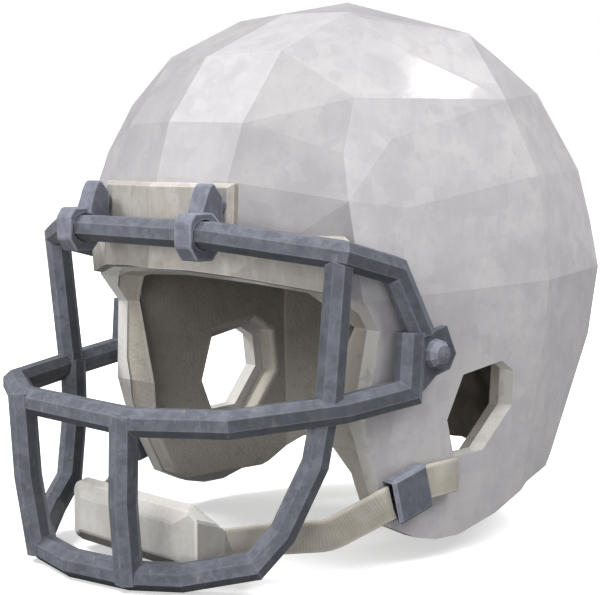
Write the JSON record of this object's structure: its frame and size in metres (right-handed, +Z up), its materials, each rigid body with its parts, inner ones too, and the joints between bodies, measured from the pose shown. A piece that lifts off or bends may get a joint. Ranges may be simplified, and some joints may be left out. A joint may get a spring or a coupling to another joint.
{
  "type": "football helmet",
  "caption": "Faceted football helmet with a bar face guard that swings up on top clips, a brow bumper, foam liner and pads, ear holes and a chin cup on snap straps.",
  "frame": {"origin": "bottom centre of the bounding box: x = 0 is the mirror plane, z = 0 the underside of the face guard's lower bar", "axes": "+Z up, the helmet faces -Y, +X is the wearer's left"},
  "size_m": [0.2594, 0.3355, 0.2959],
  "materials": {
    "shell_plastic": "pale grey moulded shell, soft gloss",
    "liner_foam": "brown-grey closed-cell foam with a cloth face",
    "pad_foam": "dark foam pad with a cloth face",
    "bumper_plastic": "beige moulded bumper, matt",
    "clip_plastic": "slate blue-grey moulded clip",
    "zinc_steel": "zinc plated",
    "guard_coating": "slate blue-grey powder coat on aluminium",
    "cup_plastic": "cream moulded cup, matt",
    "strap_webbing": "beige webbing",
    "buckle_plastic": "slate blue-grey moulded buckle"
  },
  "bodies": {
    "helmet": {"shell": "shell_plastic", "liner": "liner_foam", "crown_pad": "pad_foam", "front_pad": "pad_foam", "back_pad": "pad_foam", "brow_bumper": "bumper_plastic", "top_clip_left": "clip_plastic", "top_clip_right": "clip_plastic", "clip_screw_left": "zinc_steel", "clip_screw_right": "zinc_steel", "side_stud_left": "zinc_steel", "side_stud_right": "zinc_steel", "strap_stud_left": "zinc_steel", "strap_stud_right": "zinc_steel"},
    "face_guard": {"guard_top_bar": "guard_coating", "guard_middle_bar": "guard_coating", "guard_lower_bar": "guard_coating", "guard_front_post_left": "guard_coating", "guard_front_post_right": "guard_coating", "guard_eye_post_left": "guard_coating", "guard_eye_post_right": "guard_coating", "guard_jaw_post_left": "guard_coating", "guard_jaw_post_right": "guard_coating", "side_plate_left": "guard_coating", "side_plate_right": "guard_coating", "lock_screw_left": "guard_coating", "lock_screw_right": "guard_coating"},
    "chin_strap": {"chin_cup": "cup_plastic", "chin_cup_pad": "pad_foam", "strap_left": "strap_webbing", "strap_right": "strap_webbing", "buckle_left": "buckle_plastic", "buckle_right": "buckle_plastic"}
  },
  "joints": [
    {"name": "face_guard_swing", "type": "hinge", "parent": "helmet", "child": "face_guard", "pos_m": [0, -0.12151, 0.1725], "axis": [-1, 0, 0], "range_deg": [0, 90]},
    {"name": "chin_strap_swing", "type": "hinge", "parent": "helmet", "child": "chin_strap", "pos_m": [0, -0.03, 0.0426], "axis": [-1, 0, 0], "range_deg": [-2, 10]}
  ]
}
